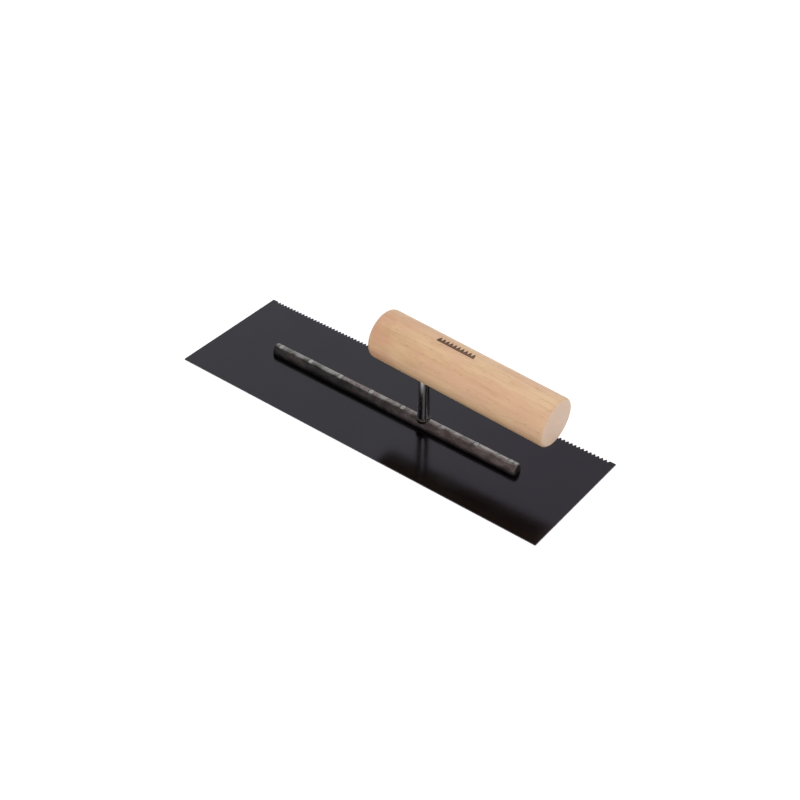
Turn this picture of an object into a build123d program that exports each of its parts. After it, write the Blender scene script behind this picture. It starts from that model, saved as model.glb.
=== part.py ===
"""Notched trowel: a toothed steel blade riveted to a rib, with a round stem and a turned wooden handle.

Frame, in millimetres: the origin is the centre of the blade's working face, the side that spreads the adhesive.
+X runs along the blade to the end that lies under the long part of the handle, +Y runs across the blade to its
toothed edge, and +Z runs up through the stem to the handle.
"""

import os
from math import atan2, cos, degrees, radians, sin

from build123d import *

# Blade: a flat steel plate with one toothed long edge.
blade_length = 285.0
blade_width = 90.0
blade_thickness = 0.8

# Notches: trapezoids with a narrow root, cut into the +Y edge.
notch_pitch = 2.8
notch_count = 99
notch_depth = 1.6
notch_mouth = 2.2
notch_root = 0.4

# Rib: a half-round bar on the blade's upper face that stiffens the blade and carries the stem. Its section has
# short upright sides, then a large arc on each side that runs smoothly into a tighter arc over the crown.
rib_length = 199.0
rib_width = 8.2
rib_height = 7.0
rib_side_height = 1.2
rib_side_radius = 8.2
rib_end_radius = 1.5

# Rivets: countersunk flush in the working face. Each head is peened into a round seat cut in the rib's crest.
rivet_pitch = 26.0
rivets_before_stem = 5
rivets_after_stem = 3
rivet_gap_at_stem = 32.0
rivet_radius = 1.5
rivet_sink_radius = 2.2
rivet_sink_depth = 0.7
rivet_head_radius = 1.9
rivet_seat_depth = 0.6
rivet_rim_drop = 0.2
rivet_dome_height = 0.3
counter_sink_angle = 90.0

# Stem: one turned rod whose shoulder stands in a shallow seat in the rib's crest, with a tenon riveted over under
# the rib and a grooved tang in the handle.
stem_x = 26.5
stem_radius = 4.0
stem_seat_depth = 0.5
tenon_radius = 2.5
tenon_sink_radius = 3.2
tenon_sink_depth = 0.7
tang_end_z = 66.0
tang_end_chamfer = 1.0
tang_groove_depth = 0.4
tang_groove_width = 1.2
tang_groove_pitch = 2.6
tang_groove_start_z = 45.0
tang_groove_count = 4

# Weld bead round the foot of the stem. It also fills the gaps between the shoulder and the rib's sloping sides.
weld_leg = 1.0
weld_drop = 2.4
weld_foot_width = 0.5
weld_hollow_radius = 1.5

# Handle: a slightly tapered turned cylinder, lower at its long end.
handle_axis_z = 58.0
handle_tilt = 3.0
handle_front_length = 34.0
handle_back_length = 97.4
handle_front_radius = 16.5
handle_back_radius = 16.1
handle_front_rounding = 3.6
handle_back_rounding = 2.2
handle_dome_height = 0.7
bore_spare_depth = 1.0

# Lock pin: driven across the tang from the toothed side, blind on the plain side.
pin_radius = 1.25
pin_head_radius = 2.2
pin_head_thickness = 0.8
pin_head_recess = 0.2
pin_tip_y = -9.0
pin_tip_chamfer = 0.7

# Places that follow from the sizes above.
rib_base_z = blade_thickness
rib_side_top_z = rib_base_z + rib_side_height
rib_top_z = rib_base_z + rib_height
rib_side_centre_y = rib_side_radius - rib_width / 2
rivet_seat_z = rib_top_z - rivet_seat_depth
rivet_rim_z = rib_top_z - rivet_rim_drop
stem_seat_z = rib_top_z - stem_seat_depth
# The crown arc's centre is on z through the rib's middle, and its radius makes it tangent to both side arcs.
rib_rise = rib_height - rib_side_height
rib_crown_radius = (rib_side_radius**2 - rib_side_centre_y**2 - rib_rise**2) / (2 * (rib_side_radius - rib_rise))
rib_crown_start = degrees(atan2(rib_rise - rib_crown_radius, rib_side_centre_y))
rivet_span = (rivets_before_stem + rivets_after_stem - 2) * rivet_pitch + rivet_gap_at_stem
rivet_row_start = -rivet_span / 2
rivet_xs = [rivet_row_start + i * rivet_pitch for i in range(rivets_before_stem)]
rivet_xs += [-rivet_row_start - i * rivet_pitch for i in reversed(range(rivets_after_stem))]
rivet_places = [(x, 0) for x in rivet_xs]
stem_axis = Axis((stem_x, 0, 0), (0, 0, 1))
handle_radius_at_stem = handle_front_radius - (
    (handle_front_radius - handle_back_radius)
    * handle_front_length
    / (handle_front_length + handle_back_length)
)

# Section planes. Local x is along the part and local y is up, so each profile is half of a lengthwise section.
lengthwise_plane = Plane(origin=(0, 0, 0), x_dir=(1, 0, 0), z_dir=(0, -1, 0))
stem_plane = Plane(origin=(stem_x, 0, 0), x_dir=(1, 0, 0), z_dir=(0, -1, 0))
handle_plane = Plane(
    origin=(stem_x, 0, handle_axis_z),
    x_dir=(cos(radians(handle_tilt)), 0, -sin(radians(handle_tilt))),
    z_dir=(0, -1, 0),
)
handle_axis = Axis(handle_plane.origin, handle_plane.x_dir)
# A hole cut on this plane starts in the working face, or below the rib, and goes up.
upward_holes = Plane(origin=(0, 0, 0), x_dir=(1, 0, 0), z_dir=(0, 0, -1))


def dome_radius(rim_radius, rise):
    """Sphere radius of a dome that rises by this much inside its rim."""
    return (rim_radius**2 + rise**2) / (2 * rise)


with BuildPart() as blade:
    with BuildSketch():
        Rectangle(blade_length, blade_width)
        with Locations((0, blade_width / 2)):
            with GridLocations(notch_pitch, notch_pitch, notch_count, 1):
                Polygon(
                    (-notch_mouth / 2, 0),
                    (-notch_root / 2, -notch_depth),
                    (notch_root / 2, -notch_depth),
                    (notch_mouth / 2, 0),
                    align=None,
                    mode=Mode.SUBTRACT,
                )
    extrude(amount=blade_thickness)
    with Locations(upward_holes):
        with Locations(*rivet_places):
            CounterSinkHole(
                radius=rivet_radius,
                counter_sink_radius=rivet_sink_radius,
                counter_sink_angle=counter_sink_angle,
            )
blade.part.label = "blade"

with BuildPart() as rib:
    with BuildSketch(Plane.YZ.offset(-rib_length / 2)):
        with BuildLine():
            CenterArc(
                center=(-rib_side_centre_y, rib_side_top_z),
                radius=rib_side_radius,
                start_angle=0,
                arc_size=rib_crown_start,
            )
            CenterArc(
                center=(0, rib_top_z - rib_crown_radius),
                radius=rib_crown_radius,
                start_angle=rib_crown_start,
                arc_size=180 - 2 * rib_crown_start,
            )
            CenterArc(
                center=(rib_side_centre_y, rib_side_top_z),
                radius=rib_side_radius,
                start_angle=180 - rib_crown_start,
                arc_size=rib_crown_start,
            )
            Polyline(
                (-rib_width / 2, rib_side_top_z),
                (-rib_width / 2, rib_base_z),
                (rib_width / 2, rib_base_z),
                (rib_width / 2, rib_side_top_z),
            )
        make_face()
    extrude(amount=rib_length)
    end_edges = rib.faces().filter_by(Axis.X).edges()
    fillet(end_edges.group_by(Axis.Z)[1:], radius=rib_end_radius)
    with Locations(*[(x, 0, rib_top_z) for x in rivet_xs]):
        CounterBoreHole(
            radius=rivet_radius,
            counter_bore_radius=rivet_head_radius,
            counter_bore_depth=rivet_seat_depth,
        )
    with Locations((stem_x, 0, rib_top_z)):
        Hole(radius=stem_radius, depth=stem_seat_depth)
    with Locations(upward_holes.offset(-rib_base_z)):
        with Locations((stem_x, 0)):
            CounterSinkHole(
                radius=tenon_radius,
                counter_sink_radius=tenon_sink_radius,
                counter_sink_angle=counter_sink_angle,
            )
rib.part.label = "rib"

with BuildPart() as one_rivet:
    with BuildSketch(lengthwise_plane):
        with BuildLine():
            Polyline(
                (0, rivet_rim_z + rivet_dome_height),
                (0, 0),
                (rivet_sink_radius, 0),
                (rivet_radius, rivet_sink_depth),
                (rivet_radius, rivet_seat_z),
                (rivet_head_radius, rivet_seat_z),
                (rivet_head_radius, rivet_rim_z),
            )
            RadiusArc(
                (rivet_head_radius, rivet_rim_z),
                (0, rivet_rim_z + rivet_dome_height),
                -dome_radius(rivet_head_radius, rivet_dome_height),
            )
        make_face()
    revolve(axis=Axis.Z)

with BuildPart() as rivets:
    with Locations(*rivet_places):
        add(one_rivet.part)
rivets.part.label = "rivets"

with BuildPart() as stem:
    with BuildSketch(stem_plane):
        with BuildLine():
            Polyline(
                (0, rib_base_z),
                (tenon_sink_radius, rib_base_z),
                (tenon_radius, rib_base_z + tenon_sink_depth),
                (tenon_radius, stem_seat_z),
                (stem_radius, stem_seat_z),
                (stem_radius, tang_end_z - tang_end_chamfer),
                (stem_radius - tang_end_chamfer, tang_end_z),
                (0, tang_end_z),
                close=True,
            )
        make_face()
        with Locations((stem_radius, tang_groove_start_z)):
            for groove in range(tang_groove_count):
                with Locations((0, groove * tang_groove_pitch)):
                    Polygon(
                        (0, 0),
                        (-tang_groove_depth, 0),
                        (0, tang_groove_width),
                        align=None,
                        mode=Mode.SUBTRACT,
                    )
    revolve(axis=stem_axis)
    with Locations(Plane(origin=(stem_x, 0, handle_axis_z), z_dir=(0, 1, 0))):
        Hole(radius=pin_radius)
stem.part.label = "stem"

with BuildPart() as stem_weld:
    with BuildSketch(stem_plane):
        with BuildLine():
            Polyline(
                (stem_radius, rib_top_z + weld_leg),
                (0, rib_top_z + weld_leg),
                (0, rib_top_z - weld_drop),
                (stem_radius + weld_foot_width, rib_top_z - weld_drop),
                (stem_radius + weld_leg, rib_top_z),
            )
            RadiusArc(
                (stem_radius + weld_leg, rib_top_z),
                (stem_radius, rib_top_z + weld_leg),
                -weld_hollow_radius,
            )
        make_face()
    revolve(axis=stem_axis)
    add(rib.part, mode=Mode.SUBTRACT)
    add(stem.part, mode=Mode.SUBTRACT)
stem_weld.part.label = "stem_weld"

front_dome_radius = dome_radius(handle_front_radius, handle_dome_height)
back_dome_radius = dome_radius(handle_back_radius, handle_dome_height)
with BuildPart() as handle:
    with BuildSketch(handle_plane) as handle_section:
        with BuildLine():
            front_rim = (-handle_front_length + handle_dome_height, handle_front_radius)
            back_rim = (handle_back_length - handle_dome_height, handle_back_radius)
            RadiusArc((-handle_front_length, 0), front_rim, front_dome_radius)
            Line(front_rim, back_rim)
            RadiusArc(back_rim, (handle_back_length, 0), back_dome_radius)
            Line((handle_back_length, 0), (-handle_front_length, 0))
        make_face()
        fillet(handle_section.vertices().group_by(Axis.Y)[-1], radius=handle_front_rounding)
        back_corner = handle_section.vertices().sort_by_distance(back_rim)[0]
        fillet(back_corner, radius=handle_back_rounding)
    revolve(axis=handle_axis)
    with Locations(Plane(origin=(stem_x, 0, rib_top_z), z_dir=(0, 0, -1))):
        Hole(radius=stem_radius, depth=tang_end_z + bore_spare_depth - rib_top_z)
    with Locations(Plane(origin=(stem_x, handle_radius_at_stem, handle_axis_z), z_dir=(0, 1, 0))):
        CounterBoreHole(
            radius=pin_radius,
            counter_bore_radius=pin_head_radius,
            counter_bore_depth=pin_head_recess + pin_head_thickness,
            depth=handle_radius_at_stem - pin_tip_y,
        )
handle.part.label = "handle"

with BuildPart() as lock_pin:
    head_seat_y = handle_radius_at_stem - pin_head_recess - pin_head_thickness
    with BuildSketch(Plane(origin=(stem_x, pin_tip_y, handle_axis_z), z_dir=(0, 1, 0))):
        Circle(pin_radius)
    extrude(amount=head_seat_y - pin_tip_y)
    chamfer(lock_pin.edges().group_by(Axis.Y)[0], length=pin_tip_chamfer)
    with BuildSketch(Plane(origin=(stem_x, head_seat_y, handle_axis_z), z_dir=(0, 1, 0))):
        Circle(pin_head_radius)
    extrude(amount=pin_head_thickness)
lock_pin.part.label = "lock_pin"

os.makedirs("parts", exist_ok=True)
export_step(blade.part, "parts/blade.step")
export_step(rib.part, "parts/rib.step")
export_step(rivets.part, "parts/rivets.step")
export_step(stem.part, "parts/stem.step")
export_step(stem_weld.part, "parts/stem_weld.step")
export_step(handle.part, "parts/handle.step")
export_step(lock_pin.part, "parts/lock_pin.step")
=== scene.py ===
"""Looks of the notched trowel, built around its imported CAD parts.

Metres, in the CAD frame: +X along the blade towards the long part of the handle, +Y across it to the
notched edge, +Z up, origin under the blade's centre.
"""

import math

import bpy
from mathutils import Matrix, Vector, noise


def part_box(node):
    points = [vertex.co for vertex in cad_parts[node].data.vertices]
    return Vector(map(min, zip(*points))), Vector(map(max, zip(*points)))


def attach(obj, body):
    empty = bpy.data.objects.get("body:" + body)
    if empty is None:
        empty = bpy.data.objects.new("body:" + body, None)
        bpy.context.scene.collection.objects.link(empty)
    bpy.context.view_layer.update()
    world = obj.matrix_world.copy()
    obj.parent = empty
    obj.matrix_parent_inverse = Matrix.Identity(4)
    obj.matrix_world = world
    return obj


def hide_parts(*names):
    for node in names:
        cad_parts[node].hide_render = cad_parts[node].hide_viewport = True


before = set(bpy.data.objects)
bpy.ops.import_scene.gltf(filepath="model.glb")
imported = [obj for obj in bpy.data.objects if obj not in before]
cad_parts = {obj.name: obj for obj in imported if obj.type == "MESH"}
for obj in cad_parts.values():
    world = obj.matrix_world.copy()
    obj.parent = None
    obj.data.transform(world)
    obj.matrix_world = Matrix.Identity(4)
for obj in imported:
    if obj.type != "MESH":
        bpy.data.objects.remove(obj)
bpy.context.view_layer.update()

MM = 0.001

# ---------------------------------------------------------------- places, from the frame

_, blade_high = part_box("blade")
rib_low, rib_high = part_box("rib")
stem_low, stem_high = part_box("stem")
rivets_low, rivets_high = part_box("rivets")
weld_low, weld_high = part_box("stem_weld")
pin_low, pin_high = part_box("lock_pin")
handle_low, handle_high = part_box("handle")

STEM_X = (stem_low.x + stem_high.x) / 2
STEM_RADIUS = (stem_high.x - stem_low.x) / 2
BLADE_TOP = blade_high.z
# The pin crosses the handle on its axis, so the pin's height gives the axis height at the stem.
HANDLE_CENTRE = Vector((STEM_X, 0, (pin_low.z + pin_high.z) / 2))
HANDLE_RADIUS = (handle_high.y - handle_low.y) / 2
HANDLE_TILT = math.radians(3.0)
# Places along the handle, measured from the stem.
HANDLE_FRONT, HANDLE_MIDDLE, HANDLE_BACK = -34 * MM, 20 * MM, 97 * MM
# The tree's pith lay outside the handle, below it and towards the notches.
PITH_Y, PITH_Z = 46 * MM, -31 * MM
RING_WIDTH = 3.1 * MM
RING_WARP = 1.6 * MM

# The printed mark: along the handle from the stem, and across it from the mark's own middle line.
MARK_START, MARK_TEETH, MARK_PITCH = 8.3 * MM, 10, 2.75 * MM
MARK_BAR_LOW, MARK_BAR_HIGH, MARK_TIP = -2.3 * MM, -0.9 * MM, 2.3 * MM
MARK_ANGLE = math.radians(3.0)

RIB_SIDE_HEIGHT = 1.2 * MM
RIB_SIDE_RADIUS = 8.2 * MM
RIB_END_RADIUS = 1.5 * MM
RIB_DENT = 0.10 * MM
# Rolling drew the dents out along the bar.
RIB_DENT_STRETCH = 2.5

RIVET_PITCH = 26 * MM
RIVET_FOOT_RADIUS = 2.2 * MM
RIVET_FOOT_DEPTH = 0.7 * MM
RIVET_SHANK_RADIUS = 1.5 * MM
RIVET_HEAD_RADIUS = 1.9 * MM
RIVET_DOME = 0.3 * MM
RIVET_SEAT_DEPTH = 0.6 * MM
RIVET_DENT = 0.12 * MM
# The hammer left the heads up to this share narrower in places.
RIVET_NARROWING = 0.08
# Five rivets are counted from the front end and three from the back end; the stem stands in the wider gap.
RIVET_PLACES = [rivets_low.x + RIVET_FOOT_RADIUS + i * RIVET_PITCH for i in range(5)]
RIVET_PLACES += [rivets_high.x - RIVET_FOOT_RADIUS - i * RIVET_PITCH for i in reversed(range(3))]

WELD_BULGE_RADIUS = 1.5 * MM
WELD_FOOT_WIDTH = 0.5 * MM
WELD_INNER_RADIUS = 2.4 * MM
WELD_DENT = 0.16 * MM
WELD_RIPPLES = 22
# How far the ripples' phase shifts, in radians, for each millimetre of height.
WELD_SLANT = 2.0

# ---------------------------------------------------------------- camera

CAMERA_AZIMUTH = math.radians(37.57)
CAMERA_ELEVATION = math.radians(38.96)
CAMERA_ROLL = math.radians(0.70)
CAMERA_DISTANCE = 0.9038
CAMERA_TARGET = Vector((-1.1 * MM, 11.2 * MM, BLADE_TOP))
SENSOR_WIDTH = 36.0
FOCAL_LENGTH = 62.15


def direction(azimuth, elevation):
    """The unit vector at this azimuth, which is 0 at -Y and grows towards +X, and elevation, in radians."""
    level = math.cos(elevation)
    return Vector((math.sin(azimuth) * level, -math.cos(azimuth) * level, math.sin(elevation)))


def make_camera():
    """The camera looks at CAMERA_TARGET from its azimuth and elevation, rolled about its own axis."""
    back = direction(CAMERA_AZIMUTH, CAMERA_ELEVATION)
    right = Vector((0, 0, 1)).cross(back).normalized()
    up = back.cross(right)
    turned_right = math.cos(CAMERA_ROLL) * right + math.sin(CAMERA_ROLL) * up
    turned_up = math.cos(CAMERA_ROLL) * up - math.sin(CAMERA_ROLL) * right
    turn = Matrix((turned_right, turned_up, back)).transposed().to_4x4()
    data = bpy.data.cameras.new("camera")
    data.sensor_width = SENSOR_WIDTH
    data.lens = FOCAL_LENGTH
    data.clip_start = 0.05
    data.clip_end = 30.0
    camera = bpy.data.objects.new("camera", data)
    camera.matrix_world = Matrix.Translation(CAMERA_TARGET + back * CAMERA_DISTANCE) @ turn
    bpy.context.scene.collection.objects.link(camera)
    bpy.context.scene.camera = camera


# ---------------------------------------------------------------- node helpers


class Shader:
    """A node material with its Principled shader, and short calls for the nodes that feed it."""

    def __init__(self, name):
        self.material = bpy.data.materials.new(name)
        self.material.use_nodes = True
        self.tree = self.material.node_tree
        self.tree.nodes.clear()
        self.output = self.tree.nodes.new("ShaderNodeOutputMaterial")
        self.principled = self.tree.nodes.new("ShaderNodeBsdfPrincipled")
        self.link(self.principled.outputs[0], self.output.inputs["Surface"])
        self.place = self.node("ShaderNodeTexCoord").outputs["Object"]

    def node(self, kind, **settings):
        made = self.tree.nodes.new(kind)
        for name, value in settings.items():
            setattr(made, name, value)
        return made

    def link(self, source, target):
        self.tree.links.new(source, target)

    def feed(self, socket, value):
        """Links a node's output to a socket, or sets the socket to a plain value."""
        if isinstance(value, bpy.types.NodeSocket):
            self.link(value, socket)
        else:
            socket.default_value = value

    def set(self, **values):
        """Sets or links inputs of the Principled shader: base_color=..., roughness=..."""
        names = {"ior": "IOR", "specular_ior_level": "Specular IOR Level"}
        for name, value in values.items():
            self.feed(self.principled.inputs[names.get(name, name.replace("_", " ").title())], value)

    def mapped(self, centre=(0, 0, 0), turn=(0, 0, 0), stretch=(1, 1, 1)):
        """Object coordinates seen from a turned and moved frame, then divided by stretch."""
        made = self.node("ShaderNodeMapping", vector_type="TEXTURE")
        self.link(self.place, made.inputs["Vector"])
        made.inputs["Location"].default_value = centre
        made.inputs["Rotation"].default_value = turn
        made.inputs["Scale"].default_value = stretch
        return made.outputs["Vector"]

    def stretched(self, vector, along):
        """Coordinates drawn out along X, so that what is made from them is this many times longer."""
        made = self.node("ShaderNodeVectorMath", operation="DIVIDE")
        self.link(vector, made.inputs[0])
        made.inputs[1].default_value = (along, 1, 1)
        return made.outputs[0]

    def noise(self, vector, size, detail=3.0, roughness=0.55):
        """Noise from 0 to 1 with features about size metres across."""
        made = self.node("ShaderNodeTexNoise")
        self.link(vector, made.inputs["Vector"])
        made.inputs["Scale"].default_value = 1.0 / size
        made.inputs["Detail"].default_value = detail
        made.inputs["Roughness"].default_value = roughness
        return made.outputs["Fac"]

    def cells(self, vector, size):
        """The distance to the middle of the nearest of many scattered cells, about size metres across."""
        made = self.node("ShaderNodeTexVoronoi")
        self.link(vector, made.inputs["Vector"])
        made.inputs["Scale"].default_value = 1.0 / size
        return made.outputs["Distance"]

    def ramp(self, value, low, high, start=0.0, end=1.0, smooth=True):
        """Maps low..high to start..end, held at both ends."""
        made = self.node("ShaderNodeMapRange")
        made.interpolation_type = "SMOOTHSTEP" if smooth else "LINEAR"
        self.feed(made.inputs["Value"], value)
        made.inputs["From Min"].default_value = low
        made.inputs["From Max"].default_value = high
        made.inputs["To Min"].default_value = start
        made.inputs["To Max"].default_value = end
        return made.outputs["Result"]

    def math(self, operation, first, second=0.0, third=0.0):
        made = self.node("ShaderNodeMath", operation=operation)
        for socket, value in zip(made.inputs, (first, second, third)):
            self.feed(socket, value)
        return made.outputs[0]

    def mix(self, share, first, second):
        """Colour mixed from first to second by share."""
        made = self.node("ShaderNodeMix", data_type="RGBA")
        self.feed(made.inputs["Factor"], share)
        for socket, value in zip([s for s in made.inputs if s.type == "RGBA"], (first, second)):
            self.feed(socket, value if isinstance(value, bpy.types.NodeSocket) else (*value, 1.0))
        return [s for s in made.outputs if s.type == "RGBA"][0]

    def layered(self, colour, layers):
        """A colour with others laid over it in turn, each as (share, colour)."""
        for share, over in layers:
            colour = self.mix(share, colour, over)
        return colour

    def axes(self, vector):
        made = self.node("ShaderNodeSeparateXYZ")
        self.link(vector, made.inputs[0])
        return made.outputs["X"], made.outputs["Y"], made.outputs["Z"]

    def normal(self):
        return self.node("ShaderNodeNewGeometry").outputs["Normal"]

    def bump(self, height, depth, after=None):
        """A bump of the given depth in metres where height goes from 0 to 1."""
        made = self.node("ShaderNodeBump")
        self.feed(made.inputs["Height"], height)
        made.inputs["Distance"].default_value = depth
        if after is not None:
            self.link(after, made.inputs["Normal"])
        self.link(made.outputs["Normal"], self.principled.inputs["Normal"])
        return made.outputs["Normal"]


# ---------------------------------------------------------------- piece helpers


def wear(node_name, material):
    """Gives a CAD node this material and no other."""
    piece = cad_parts[node_name]
    piece.data.materials.clear()
    piece.data.materials.append(material)


def build(name, points, faces, material, slot):
    """A smooth mesh piece that rides on the trowel's one body."""
    mesh = bpy.data.meshes.new(name)
    mesh.from_pydata(points, [], faces)
    mesh.materials.append(material)
    for face in mesh.polygons:
        face.use_smooth = True
    piece = bpy.data.objects.new(name, mesh)
    bpy.context.scene.collection.objects.link(piece)
    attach(piece, "root")
    return piece


def skin(rings, loop=False):
    """Quads between rings of equally many points. In a loop the last ring joins the first; otherwise both
    ends get a flat cap."""
    count = len(rings[0])
    points = [point for ring in rings for point in ring]
    faces = []
    for i in range(len(rings) if loop else len(rings) - 1):
        a = i * count
        b = (i + 1) % len(rings) * count
        for j in range(count):
            k = (j + 1) % count
            faces.append((a + j, a + k, b + k, b + j))
    if not loop:
        faces.append(tuple(reversed(range(count))))
        last = (len(rings) - 1) * count
        faces.append(tuple(range(last, last + count)))
    return points, faces


# ---------------------------------------------------------------- materials


def blade_steel():
    """Blued and lacquered spring steel: near black, glossy, with faint rolling lines and a thin oily film."""
    s = Shader("blade_steel")
    film = s.noise(s.place, 28 * MM, detail=4)
    lines = s.noise(s.mapped(stretch=(60, 1, 1)), 0.9 * MM, detail=2)
    x, _, _ = s.axes(s.place)
    blued = s.mix(film, (0.042, 0.040, 0.048), (0.049, 0.047, 0.055))
    # Painted shade: the blade is made a little darker towards the back end.
    painted_shade_tone = s.mix(film, (0.034, 0.029, 0.038), (0.038, 0.032, 0.042))
    painted_shade_share = s.ramp(x, 20 * MM, 125 * MM, 0, 0.6)
    oily = s.ramp(film, 0.3, 0.7, 0.13, 0.17)
    rolled = s.ramp(lines, 0.4, 0.8, 0.0, 0.03)
    s.set(
        base_color=s.mix(painted_shade_share, blued, painted_shade_tone),
        metallic=1.0,
        roughness=s.math("ADD", oily, rolled),
    )
    waves = s.bump(s.noise(s.place, 60 * MM, detail=1), 0.05 * MM)
    s.bump(lines, 0.0006 * MM, after=waves)
    return s.material


def rib_steel():
    """Hot rolled bar: dull black and brown scale on its flanks, rubbed through to grey steel on the crown,
    with a painted highlight on the crown and painted shade along the blade.
    """
    s = Shader("rib_steel")
    x, _, z = s.axes(s.place)
    endward, notchward, upward = s.axes(s.normal())
    patches = s.noise(s.mapped(stretch=(2, 1, 1)), 4.5 * MM, detail=5, roughness=0.68)
    tint = s.noise(s.mapped(stretch=(2, 1, 1)), 15 * MM, detail=3)
    grit = s.noise(s.place, 0.7 * MM, detail=4, roughness=0.65)

    # The scale turns from black to brown towards the back end.
    patchy = s.ramp(patches, 0.38, 0.62)
    black = s.mix(patchy, (0.011, 0.010, 0.0095), (0.028, 0.0255, 0.025))
    brown = s.mix(patchy, (0.066, 0.047, 0.047), (0.135, 0.102, 0.102))
    browned = s.math("ADD", s.ramp(x, -60 * MM, 60 * MM, 0, 0.85), s.ramp(tint, 0.5, 0.7, 0, 0.4))
    scale = s.mix(s.math("MINIMUM", browned, 1.0), black, brown)

    # The crown is rubbed bare, and the bare patch is also a painted highlight: it follows how far the surface
    # faces up, is pushed a little towards the notches where the highlight falls, and is brighter towards the
    # back end.
    highlight_notchward_shift, unevenness = 0.16, 0.13
    brown_or_olive = s.mix(s.ramp(tint, 0.42, 0.58), (0.225, 0.178, 0.168), (0.205, 0.205, 0.180))
    bright = s.mix(s.ramp(x, -90 * MM, 80 * MM), (0.310, 0.295, 0.298), (0.420, 0.392, 0.396))
    rubbed = s.mix(s.ramp(patches, 0.36, 0.62), brown_or_olive, bright)
    rubbing_and_highlight = s.math("MULTIPLY_ADD", notchward, highlight_notchward_shift, upward)
    uneven = s.math("ADD", rubbing_and_highlight, s.ramp(patches, 0.25, 0.75, -unevenness, unevenness, smooth=False))
    bare_and_highlight_share = s.ramp(uneven, 0.68, 1.06)

    # Painted shade: the bar is darkened to near black in the corner along the blade, and its end faces are
    # made near black too.
    painted_contact_shade = s.ramp(z, BLADE_TOP + 0.5 * MM, BLADE_TOP + 3.5 * MM, 0.9, 0.0)
    sheared_end = s.ramp(s.math("ABSOLUTE", endward), 0.75, 1.0, 0.0, 0.8)
    contact_shade_and_dark_ends = s.math("MAXIMUM", painted_contact_shade, sheared_end)
    specks = s.mix(bare_and_highlight_share, scale, (0.08, 0.07, 0.066))
    steel = s.layered(scale, [
        (bare_and_highlight_share, rubbed),
        # Painted shade in the corner along the blade, and the near-black end faces.
        (contact_shade_and_dark_ends, (0.003, 0.003, 0.003)),
        (s.ramp(grit, 0.50, 0.72, 0.0, 0.6), specks),
    ])
    s.set(
        base_color=steel,
        metallic=s.ramp(bare_and_highlight_share, 0.0, 1.0, 0.25, 0.95),
        specular_ior_level=0.15,
        roughness=s.ramp(patches, 0.3, 0.7, 0.46, 0.34),
    )
    s.bump(grit, 0.03 * MM)
    return s.material


def bare_steel(name, tone, polish, tone_below=None):
    """Hammered, welded or cut steel with small dents. Polish is its roughness at its smoothest. A second tone
    is for what is level with the blade, which was blackened with it."""
    in_dents, roughening = (0.03, 0.028, 0.027), 0.14
    s = Shader(name)
    dents = s.noise(s.place, 0.9 * MM, detail=3)
    if tone_below is not None:
        _, _, z = s.axes(s.place)
        tone = s.mix(s.ramp(z, BLADE_TOP, BLADE_TOP + 1 * MM), tone_below, tone)
    s.set(
        base_color=s.mix(s.ramp(dents, 0.3, 0.7, 0.4, 0.0), tone, in_dents),
        metallic=1.0,
        roughness=s.ramp(dents, 0.3, 0.7, polish, polish + roughening),
    )
    s.bump(dents, 0.03 * MM)
    return s.material


def stem_steel():
    """Ground and polished round rod, with faint rings from the grinding and a little stain."""
    s = Shader("stem_steel")
    rings = s.noise(s.mapped(stretch=(40, 40, 1)), 0.12 * MM, detail=2)
    stain = s.noise(s.place, 7 * MM, detail=4)
    s.set(
        base_color=s.mix(s.ramp(stain, 0.35, 0.65), (0.33, 0.32, 0.31), (0.44, 0.43, 0.42)),
        metallic=1.0,
        roughness=s.ramp(stain, 0.3, 0.7, 0.22, 0.15),
    )
    s.bump(rings, 0.0015 * MM)
    return s.material


def printed_teeth(s, along, y, z):
    """Where the mark is on the handle's top: a plain bar with a row of teeth, like the blade's edge."""
    blur, tooth_blur = 0.08 * MM, 0.03
    angle = s.math("SUBTRACT", s.math("ARCTAN2", y, z), MARK_ANGLE)
    across = s.math("MULTIPLY", angle, HANDLE_RADIUS)
    steps = s.math("DIVIDE", s.math("SUBTRACT", along, MARK_START), MARK_PITCH)
    from_tooth = s.math("ABSOLUTE", s.math("SUBTRACT", s.math("FRACT", steps), 0.5))
    half_width = s.ramp(across, MARK_BAR_HIGH, MARK_TIP, 0.50, 0.06, smooth=False)
    mark = s.ramp(s.math("SUBTRACT", half_width, from_tooth), -tooth_blur, tooth_blur)
    limits = [
        s.ramp(across, MARK_TIP + blur, MARK_TIP - blur),
        s.ramp(across, MARK_BAR_LOW - blur, MARK_BAR_LOW + blur),
        s.ramp(steps, -tooth_blur, tooth_blur),
        s.ramp(steps, MARK_TEETH + tooth_blur, MARK_TEETH - tooth_blur),
    ]
    for limit in limits:
        mark = s.math("MULTIPLY", mark, limit)
    return mark


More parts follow.
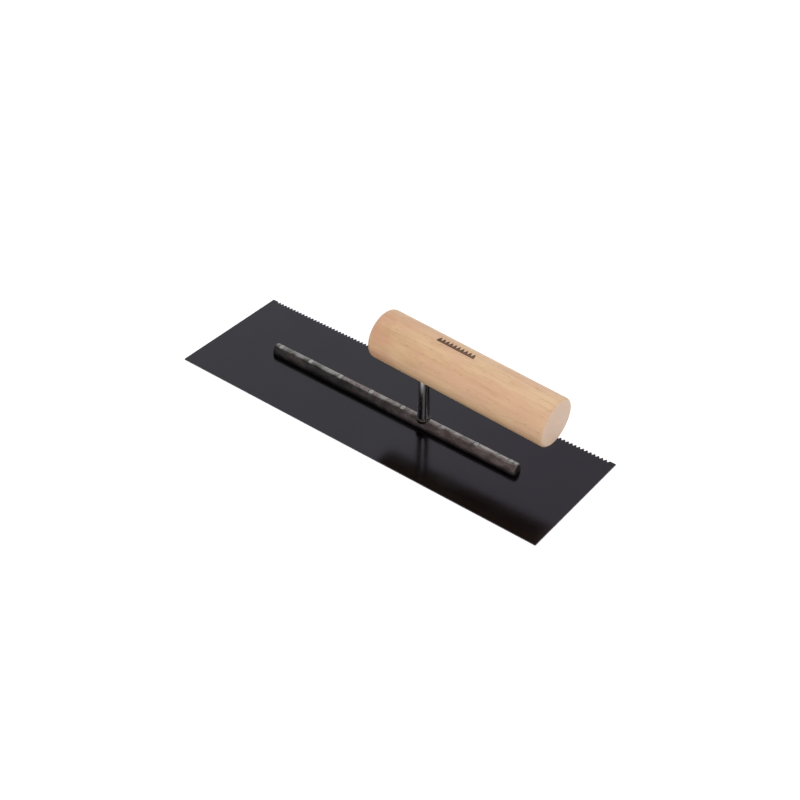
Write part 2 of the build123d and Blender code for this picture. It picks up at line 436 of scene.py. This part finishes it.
def side_grain(s, local, clouds, fibres, late):
    """The turned sides' colour: long fibres, streaks, short ray flecks, faint growth rings and stains."""
    x, _, z = s.axes(local)
    streaks = s.noise(s.stretched(local, 14), 3.2 * MM, detail=3, roughness=0.6)
    stains = s.noise(s.stretched(local, 3.5), 5 * MM, detail=4, roughness=0.65)
    fleck_cells = s.cells(s.stretched(local, 5.5), 0.95 * MM)
    flecks = s.math("MULTIPLY", s.ramp(fleck_cells, 0.30, 0.14), s.ramp(streaks, 0.42, 0.62))

    # The wood gets paler from the front end to the back end, with pinker clouds in it.
    front_half = s.ramp(x, HANDLE_FRONT, HANDLE_MIDDLE)
    tone = s.mix(front_half, (0.610, 0.350, 0.186), (0.70, 0.455, 0.246))
    tone = s.mix(s.ramp(x, HANDLE_MIDDLE, HANDLE_BACK), tone, (0.73, 0.490, 0.285))
    pink = s.mix(front_half, (0.61, 0.332, 0.200), (0.69, 0.422, 0.262))
    return s.layered(tone, [
        (s.ramp(clouds, 0.36, 0.62), pink),
        (s.ramp(clouds, 0.56, 0.34, 0, 0.5), (0.73, 0.50, 0.30)),
        # Painted sheen: the top is made paler, standing in for the sky's sheen on it.
        (s.ramp(z, 12 * MM, 16 * MM, 0, 0.15), (0.70, 0.50, 0.38)),
        (s.ramp(stains, 0.52, 0.70, 0, 0.36), (0.53, 0.29, 0.14)),
        (s.math("MULTIPLY", late, 0.14), (0.47, 0.275, 0.145)),
        (s.ramp(streaks, 0.45, 0.72, 0, 0.34), (0.50, 0.30, 0.165)),
        (s.ramp(fibres, 0.35, 0.75, 0, 0.26), (0.46, 0.28, 0.15)),
        (s.math("MULTIPLY", flecks, 0.46), (0.31, 0.155, 0.08)),
    ])


def end_grain(s, ring_y, ring_z, from_pith, fibres, late):
    """The end faces' colour: paler and greyer, with pores and fine rays that run out from the pith."""
    ray_count, ray_breaks = 50, 60
    polar = s.node("ShaderNodeCombineXYZ")
    s.link(s.math("MULTIPLY", s.math("ARCTAN2", ring_z, ring_y), ray_count), polar.inputs[0])
    s.link(s.math("MULTIPLY", from_pith, ray_breaks), polar.inputs[1])
    rays = s.noise(polar.outputs[0], 0.8, detail=2)
    return s.layered((0.76, 0.553, 0.424), [
        (s.ramp(rays, 0.45, 0.7, 0, 0.45), (0.67, 0.449, 0.315)),
        (s.math("MULTIPLY", late, 0.18), (0.45, 0.27, 0.17)),
        (s.ramp(fibres, 0.5, 0.75, 0, 0.30), (0.36, 0.21, 0.13)),
    ])


def beech_wood():
    """Turned beech under a thin lacquer, with end grain and a printed mark of plain teeth on top."""
    s = Shader("beech_wood")
    local = s.mapped(centre=HANDLE_CENTRE, turn=(0, HANDLE_TILT, 0))
    x, y, z = s.axes(local)
    fibres = s.noise(s.stretched(local, 24), 0.55 * MM, detail=4, roughness=0.6)
    clouds = s.noise(s.stretched(local, 2.2), 15 * MM, detail=3)

    # Growth rings lie round the pith, a little warped, and end in darker late wood.
    ring_y = s.math("SUBTRACT", y, PITH_Y)
    ring_z = s.math("SUBTRACT", z, PITH_Z)
    from_pith = s.math("SQRT", s.math("ADD", s.math("POWER", ring_y, 2), s.math("POWER", ring_z, 2)))
    warped = s.math("ADD", from_pith, s.ramp(clouds, 0, 1, -RING_WARP, RING_WARP, smooth=False))
    late = s.ramp(s.math("FRACT", s.math("DIVIDE", warped, RING_WIDTH)), 0.62, 0.96)

    facing = s.node("ShaderNodeVectorMath", operation="DOT_PRODUCT")
    s.link(s.normal(), facing.inputs[0])
    facing.inputs[1].default_value = (math.cos(HANDLE_TILT), 0, -math.sin(HANDLE_TILT))
    end_face = s.ramp(s.math("ABSOLUTE", facing.outputs["Value"]), 0.55, 0.95)
    mark = printed_teeth(s, x, y, z)
    burnt = s.math("MULTIPLY", mark, s.ramp(fibres, 0.30, 0.62, 0.80, 0.98))
    wood = s.layered(side_grain(s, local, clouds, fibres, late), [
        (s.math("MULTIPLY", end_face, 0.85), end_grain(s, ring_y, ring_z, from_pith, fibres, late)),
        (burnt, (0.060, 0.018, 0.008)),
    ])
    s.set(
        base_color=wood,
        roughness=s.ramp(fibres, 0.3, 0.7, 0.44, 0.58),
        ior=1.45,
        specular_ior_level=0.4,
        coat_weight=s.ramp(mark, 0.0, 1.0, 0.25, 0.0),
        coat_roughness=0.3,
    )
    s.bump(fibres, 0.02 * MM, after=s.bump(mark, -0.08 * MM))
    return s.material


# ---------------------------------------------------------------- forged rib, hammered rivets, weld


def dent(point, size, seed):
    """A smooth random value from 0 to 1 at this point, with features about size metres across."""
    value = 0.5 + 0.7 * noise.noise(point / size + Vector((seed, 0, 0)))
    return min(max(value, 0.0), 1.0)


def half_outline(half_width, height):
    """Half of the half-round section from foot to crest, as (y, z, outward y, outward z): a short wall, then
    a side arc and a crown arc that meet without a corner."""
    wall_steps, side_steps, crown_steps = 3, 7, 11
    rise = height - RIB_SIDE_HEIGHT
    side_centre = half_width - RIB_SIDE_RADIUS
    crown = (RIB_SIDE_RADIUS ** 2 - side_centre ** 2 - rise ** 2) / (2 * (RIB_SIDE_RADIUS - rise))
    join = math.atan2(rise - crown, -side_centre)
    outline = []
    for i in range(wall_steps):
        outline.append((half_width, RIB_SIDE_HEIGHT * i / wall_steps, 1.0, 0.0))
    for i in range(side_steps):
        a = join * i / side_steps
        y = side_centre + RIB_SIDE_RADIUS * math.cos(a)
        z = RIB_SIDE_HEIGHT + RIB_SIDE_RADIUS * math.sin(a)
        outline.append((y, z, math.cos(a), math.sin(a)))
    for i in range(crown_steps + 1):
        a = join + (math.pi / 2 - join) * i / crown_steps
        z = height - crown + crown * math.sin(a)
        outline.append((crown * math.cos(a), z, math.cos(a), math.sin(a)))
    return outline


def rib_outline():
    """The whole section, over the crown from the notched side to the straight side."""
    half = half_outline(rib_high.y, rib_high.z - rib_low.z)
    return half + [(-y, z, -out_y, out_z) for y, z, out_y, out_z in reversed(half[:-1])]


def rib_stations():
    """Places along the bar, closer together at its rounded ends and round the rivet seats."""
    coarse, fine = 1.0 * MM, 0.2 * MM
    stations = []
    x = rib_low.x
    while x < rib_high.x - fine / 2:
        stations.append(x)
        at_end = min(x - rib_low.x, rib_high.x - x) < RIB_END_RADIUS + coarse
        at_rivet = min(abs(x + coarse / 2 - place) for place in RIVET_PLACES) < RIVET_HEAD_RADIUS + coarse
        x += fine if at_end or at_rivet else coarse
    return stations + [rib_high.x]


def rib_ring(x, outline):
    """One section of the bar, rounded off at the ends, a little uneven, and cut down for the rivet seats."""
    seat_gap, seat_clearance, seat_slope = 0.05 * MM, 0.1 * MM, 4
    seat_floor = rib_high.z - RIVET_SEAT_DEPTH - seat_clearance
    from_end = min(x - rib_low.x, rib_high.x - x, RIB_END_RADIUS)
    inset = RIB_END_RADIUS - math.sqrt(RIB_END_RADIUS ** 2 - (RIB_END_RADIUS - from_end) ** 2)
    to_rivet = min(abs(x - place) for place in RIVET_PLACES)
    ring = []
    for y, z, out_y, out_z in outline:
        here = Vector((x / RIB_DENT_STRETCH, y, z))
        # Broad dents and, a third as deep, finer ones. The foot, at z = 0, isn't dented.
        depth = RIB_DENT * (0.75 * dent(here, 2.2 * MM, 3) + 0.25 * dent(here, 0.8 * MM, 9))
        depth = min(depth, z)
        shift = inset + depth
        point = Vector((x, y - shift * out_y, rib_low.z + z - shift * out_z))
        past_seat = max(math.hypot(to_rivet, point.y) - RIVET_HEAD_RADIUS - seat_gap, 0)
        point.z = min(point.z, seat_floor + seat_slope * past_seat)
        ring.append(point)
    return ring


def turned_ring(centre, radius, z, count):
    """A level ring of points about a centre."""
    ring = []
    for i in range(count):
        a = 2 * math.pi * i / count
        ring.append(Vector((centre.x + radius * math.cos(a), centre.y + radius * math.sin(a), z)))
    return ring


def rivet_outline():
    """Half of a rivet's outline as (radius, z), from its flush foot under the blade to its domed head."""
    seat_share, edge_share, dome_steps = 0.96, 0.98, 8
    seat = rib_high.z - RIVET_SEAT_DEPTH
    edge = rivets_high.z - RIVET_DOME
    # The foot stays a hair inside the CAD's own.
    foot = rivets_low.z + 0.01 * MM
    outline = [
        (RIVET_FOOT_RADIUS, foot),
        (RIVET_SHANK_RADIUS, foot + RIVET_FOOT_DEPTH),
        (RIVET_SHANK_RADIUS, seat),
        (seat_share * RIVET_HEAD_RADIUS, seat),
        (RIVET_HEAD_RADIUS, (seat + edge) / 2),
        (edge_share * RIVET_HEAD_RADIUS, edge),
    ]
    for i in range(1, dome_steps):
        share = edge_share * (1 - i / dome_steps)
        outline.append((share * RIVET_HEAD_RADIUS, edge + RIVET_DOME * (1 - share ** 2)))
    return outline


def rivet_rings(x):
    """The rivet at this place as level rings, with its head out of round and dented by the hammer."""
    axis, around = Vector((x, 0, 0)), 36
    seat = rib_high.z - RIVET_SEAT_DEPTH
    rings = []
    for radius, z in rivet_outline():
        ring = turned_ring(axis, radius, z, around)
        if z > seat:
            for point in ring:
                narrow = 1 - RIVET_NARROWING * dent(Vector((point.x, point.y, 0)), 1.3 * MM, 5)
                point.x = x + (point.x - x) * narrow
                point.y *= narrow
                point.z -= RIVET_DENT * dent(point, 1.1 * MM, 7)
        rings.append(ring)
    return rings


def weld_section():
    """The weld's section as (radius, z, outward, upward): a skirt down the rib's sides, then a bulging bead.
    Its inner wall stands inside the stem and the rib, and isn't dented."""
    skirt_steps, bead_steps, corner = 4, 8, 0.1 * MM
    low, crest, top = weld_low.z, rib_high.z, weld_high.z
    reach = (weld_high.x - weld_low.x) / 2
    half_turn = math.asin((reach - STEM_RADIUS) / math.sqrt(2) / WELD_BULGE_RADIUS)
    to_centre = WELD_BULGE_RADIUS * math.cos(half_turn) / math.sqrt(2)
    centre_radius = (reach + STEM_RADIUS) / 2 - to_centre
    centre_z = (crest + top) / 2 - to_centre
    foot = STEM_RADIUS + WELD_FOOT_WIDTH
    section = [(WELD_INNER_RADIUS, low, 0.0, 0.0), (foot - corner, low, 0.0, 0.0)]
    for i in range(skirt_steps + 1):
        share = i / skirt_steps
        z = low + corner + share * (crest - low - corner)
        section.append((foot + share * (reach - foot), z, 1.0, 0.0))
    for i in range(1, bead_steps + 1):
        b = math.pi / 4 + half_turn * (2 * i / bead_steps - 1)
        r = centre_radius + WELD_BULGE_RADIUS * math.cos(b)
        section.append((r, centre_z + WELD_BULGE_RADIUS * math.sin(b), math.cos(b), math.sin(b)))
    section.append((WELD_INNER_RADIUS, top, 0.0, 0.0))
    return section


def weld_rings():
    """The weld as sections round the stem, with the slanting ripples that the torch left in it."""
    turns, ripple_share, dent_share = 154, 0.65, 0.35
    section = weld_section()
    rings = []
    for i in range(turns):
        a = 2 * math.pi * i / turns
        out = Vector((math.cos(a), math.sin(a), 0))
        ring = []
        for r, z, outward, upward in section:
            point = Vector((STEM_X, 0, z)) + out * r
            ripple = 0.5 + 0.5 * math.sin(WELD_RIPPLES * a + WELD_SLANT * (z - rib_high.z) / MM)
            depth = WELD_DENT * (ripple_share * ripple + dent_share * dent(point, 0.9 * MM, 2))
            ring.append(point - depth * (outward * out + Vector((0, 0, upward))))
        rings.append(ring)
    return rings


def joined(skins):
    """Several skins as one list of points and faces."""
    points, faces = [], []
    for more_points, more_faces in skins:
        start = len(points)
        points += more_points
        faces += [tuple(start + i for i in face) for face in more_faces]
    return points, faces


# ---------------------------------------------------------------- pieces

rib_material = rib_steel()
weld_material = bare_steel("weld_metal", (0.060, 0.054, 0.049), 0.18)
wear("blade", blade_steel())
wear("stem", stem_steel())
wear("handle", beech_wood())
wear("lock_pin", bare_steel("pin_steel", (0.45, 0.45, 0.45), 0.28))
outline = rib_outline()
rib = build("forged_rib", *skin([rib_ring(x, outline) for x in rib_stations()]), rib_material, "rib_steel")
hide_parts("rib")

rivet_material = bare_steel("rivet_steel", (0.44, 0.43, 0.425), 0.32, (0.20, 0.19, 0.19))
rivet_skins = [skin(rivet_rings(x)) for x in RIVET_PLACES]
rivets = build("hammered_rivets", *joined(rivet_skins), rivet_material, "rivet_steel")
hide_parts("rivets")

weld = build("rippled_weld", *skin(weld_rings(), loop=True), weld_material, "weld_metal")
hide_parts("stem_weld")

# ---------------------------------------------------------------- floor and light


def make_floor():
    """A pale studio floor, a hair below the blade so that the two faces don't fight."""
    size, z = 25.0, -0.1 * MM
    corners = [(-size, -size, z), (size, -size, z), (size, size, z), (-size, size, z)]
    mesh = bpy.data.meshes.new("floor")
    mesh.from_pydata(corners, [], [(0, 1, 2, 3)])
    floor = bpy.data.objects.new("floor", mesh)
    bpy.context.scene.collection.objects.link(floor)
    s = Shader("floor_white")
    grain = s.noise(s.place, 3 * MM, detail=2)
    s.set(
        base_color=s.mix(grain, (0.86, 0.86, 0.86), (0.88, 0.88, 0.88)),
        roughness=0.9,
        emission_color=(1.0, 1.0, 1.0, 1.0),
        emission_strength=0.32,
    )
    # From below the floor is clear, so that the working face can be looked at.
    clear = s.node("ShaderNodeBsdfTransparent")
    one_sided = s.node("ShaderNodeMixShader")
    s.link(s.node("ShaderNodeNewGeometry").outputs["Backfacing"], one_sided.inputs["Fac"])
    s.link(s.principled.outputs[0], one_sided.inputs[1])
    s.link(clear.outputs[0], one_sided.inputs[2])
    s.link(one_sided.outputs[0], s.output.inputs["Surface"])
    mesh.materials.append(s.material)
    # The wood is lit from below by the room's lower half instead, which is dimmer than this white floor.
    floor.visible_diffuse = False


def make_world(above, below):
    """A plain soft room, brighter above the horizon than below it."""
    horizon_blur = 0.05
    world = bpy.data.worlds.new("studio")
    world.use_nodes = True
    tree = world.node_tree
    background = tree.nodes["Background"]
    background.inputs["Color"].default_value = (1.0, 1.0, 1.0, 1.0)
    towards = tree.nodes.new("ShaderNodeTexCoord").outputs["Generated"]
    axes = tree.nodes.new("ShaderNodeSeparateXYZ")
    tree.links.new(towards, axes.inputs[0])
    horizon = tree.nodes.new("ShaderNodeMapRange")
    tree.links.new(axes.outputs["Z"], horizon.inputs["Value"])
    horizon.inputs["From Min"].default_value = -horizon_blur
    horizon.inputs["From Max"].default_value = horizon_blur
    horizon.inputs["To Min"].default_value = below
    horizon.inputs["To Max"].default_value = above
    tree.links.new(horizon.outputs["Result"], background.inputs["Strength"])
    bpy.context.scene.world = world


def make_black_cards():
    """Two curved black cards, left and right of the camera, that give the polished stem its dark flanks. They
    hang where the stem mirrors them, clear of most of what the blade mirrors. Only reflections see them."""
    radius, bottom, top, steps = 1.5, 0.8, 2.0, 24
    # Their near and far edges, in degrees round from the camera.
    near_edge, far_edge = 25, 90
    s = Shader("black_card")
    felt = s.noise(s.place, 5 * MM, detail=2)
    s.set(base_color=s.mix(felt, (0.004, 0.004, 0.004), (0.008, 0.008, 0.008)), roughness=1.0)
    for name, side in (("black_card_left", -1), ("black_card_right", 1)):
        points, faces = [], []
        for i in range(steps + 1):
            a = CAMERA_AZIMUTH + side * math.radians(near_edge + (far_edge - near_edge) * i / steps)
            points.append((radius * math.sin(a), -radius * math.cos(a), bottom))
            points.append((radius * math.sin(a), -radius * math.cos(a), top))
        for i in range(steps):
            faces.append((2 * i, 2 * i + 2, 2 * i + 3, 2 * i + 1))
        mesh = bpy.data.meshes.new(name)
        mesh.from_pydata(points, [], faces)
        mesh.materials.append(s.material)
        card = bpy.data.objects.new(name, mesh)
        card.visible_camera = False
        card.visible_diffuse = False
        card.visible_shadow = False
        bpy.context.scene.collection.objects.link(card)


def soft_light(name, azimuth, elevation, distance, width, height, power):
    """An area light that faces the trowel from an azimuth and elevation in degrees."""
    back = direction(math.radians(azimuth), math.radians(elevation))
    data = bpy.data.lights.new(name, "AREA")
    data.shape = "RECTANGLE"
    data.size = width
    data.size_y = height
    data.energy = power
    light = bpy.data.objects.new(name, data)
    light.location = back * distance
    light.rotation_mode = "QUATERNION"
    light.rotation_quaternion = back.to_track_quat("Z", "Y")
    bpy.context.scene.collection.objects.link(light)


make_camera()
make_floor()
make_world(above=0.86, below=0.60)
make_black_cards()
soft_light("key_light", azimuth=38, elevation=46, distance=1.6, width=0.75, height=0.8, power=4.9)
soft_light("top_light", azimuth=38, elevation=85, distance=1.6, width=0.8, height=0.8, power=1.0)
bpy.context.scene.view_settings.view_transform = "Standard"
